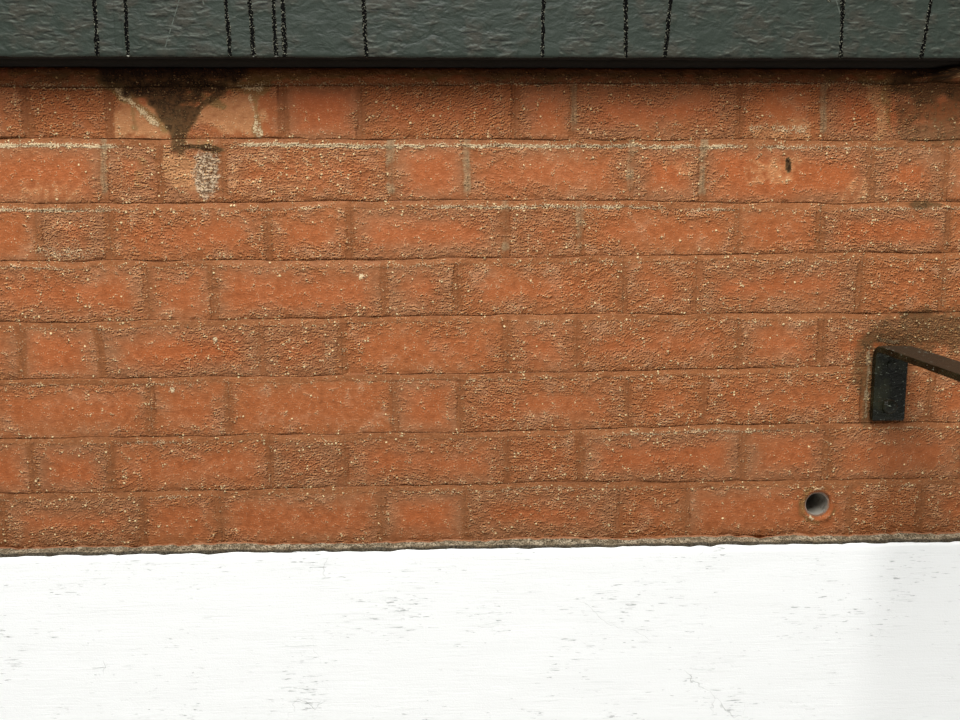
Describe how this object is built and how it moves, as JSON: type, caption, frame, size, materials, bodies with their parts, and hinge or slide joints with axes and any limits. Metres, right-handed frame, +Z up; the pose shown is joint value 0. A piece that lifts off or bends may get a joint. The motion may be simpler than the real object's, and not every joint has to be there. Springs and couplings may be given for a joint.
{
  "type": "brick garden wall",
  "caption": "Painted Flemish-bond garden wall on a white rendered plinth, under an overhanging stone coping, with an iron stay and a weep pipe.",
  "frame": {"origin": "on the ground, at the middle of the wall's base", "axes": "+X along the wall, to the right seen from its front; the front face looks towards -Y, where the stay reaches out; +Z up"},
  "size_m": [3.3324, 1.005, 1.5415],
  "materials": {
    "painted_brick": "terracotta masonry paint brushed over rough brick, worn and damp",
    "painted_mortar": "struck mortar joints under the same terracotta paint, thin in places",
    "plinth_brickwork": "plain brickwork, hidden by the render",
    "white_render": "white masonry paint on trowelled cement render",
    "cement_fillet": "bare gritty cement",
    "painted_stone": "dark grey-green paint brushed over stone",
    "coping_mortar": "mortar joint under the same dark paint",
    "black_iron": "black-green gloss paint on wrought iron, with brush marks",
    "grey_pipe": "grey drain pipe, dirty inside, painted at its rim"
  },
  "bodies": {
    "root": {"plinth_masonry": "plinth_brickwork", "render_front": "white_render", "render_back": "white_render", "render_left_end": "white_render", "render_right_end": "white_render", "fillet_front": "cement_fillet", "fillet_back": "cement_fillet", "fillet_left_end": "cement_fillet", "fillet_right_end": "cement_fillet", "bed_joint_1": "painted_mortar", "bed_joint_2": "painted_mortar", "bed_joint_3": "painted_mortar", "bed_joint_4": "painted_mortar", "bed_joint_5": "painted_mortar", "bed_joint_6": "painted_mortar", "bed_joint_7": "painted_mortar", "bed_joint_8": "painted_mortar", "brick_course_1": "painted_brick", "brick_course_2": "painted_brick", "brick_course_3": "painted_brick", "brick_course_4": "painted_brick", "brick_course_5": "painted_brick", "brick_course_6": "painted_brick", "brick_course_7": "painted_brick", "brick_course_8": "painted_brick", "coping_bed": "painted_mortar", "coping_stone_1": "painted_stone", "coping_stone_2": "painted_stone", "coping_stone_3": "painted_stone", "coping_joint_1": "coping_mortar", "coping_joint_2": "coping_mortar", "wall_stay": "black_iron", "weep_pipe": "grey_pipe"}
  },
  "joints": []
}
